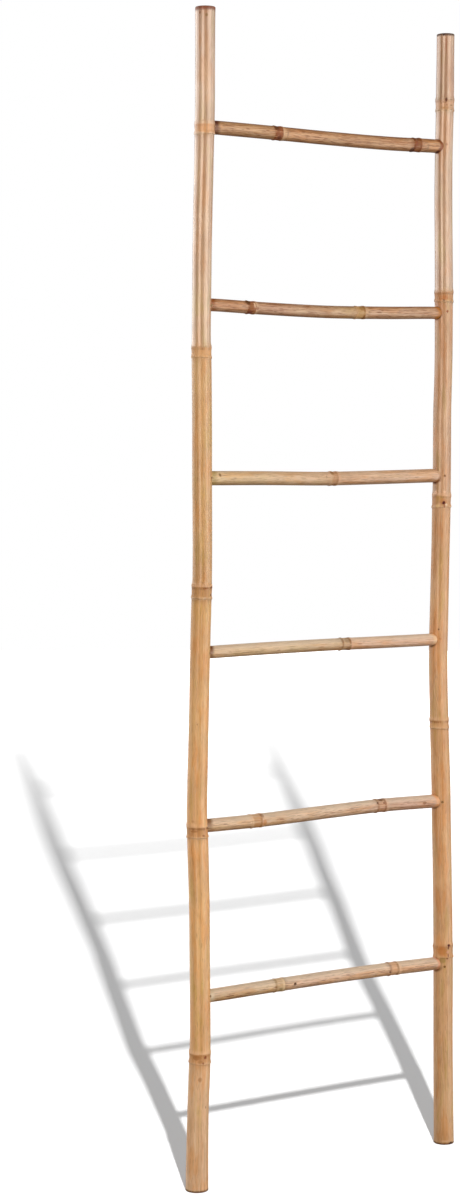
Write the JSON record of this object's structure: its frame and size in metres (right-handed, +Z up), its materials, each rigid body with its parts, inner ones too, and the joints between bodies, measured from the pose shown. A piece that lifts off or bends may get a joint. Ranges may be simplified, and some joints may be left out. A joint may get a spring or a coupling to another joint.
{
  "type": "bamboo towel ladder",
  "caption": "Free-standing leaning towel ladder: long bamboo culms joined by round bamboo rungs let into drilled holes and nailed.",
  "frame": {"origin": "on the floor plane, midway between the two feet, at the centre of the bounding box's bottom", "axes": "+Z up along the poles, +X along the rungs to the right as seen from the front, front faces -Y"},
  "size_m": [0.4999, 0.0353, 1.75],
  "materials": {
    "pole_bamboo": "lacquered bamboo culm, glossy at the top, warmer and duller at the foot",
    "rung_bamboo": "lacquered thin bamboo culm, satin",
    "nail_steel": "dull darkened steel nail"
  },
  "bodies": {
    "root": {"pole_left": "pole_bamboo", "pole_right": "pole_bamboo", "rung_1": "rung_bamboo", "rung_2": "rung_bamboo", "rung_3": "rung_bamboo", "rung_4": "rung_bamboo", "rung_5": "rung_bamboo", "rung_6": "rung_bamboo", "nail_left_1": "nail_steel", "nail_left_2": "nail_steel", "nail_left_3": "nail_steel", "nail_left_4": "nail_steel", "nail_left_5": "nail_steel", "nail_left_6": "nail_steel", "nail_right_1": "nail_steel", "nail_right_2": "nail_steel", "nail_right_3": "nail_steel", "nail_right_4": "nail_steel", "nail_right_5": "nail_steel", "nail_right_6": "nail_steel"}
  },
  "joints": []
}
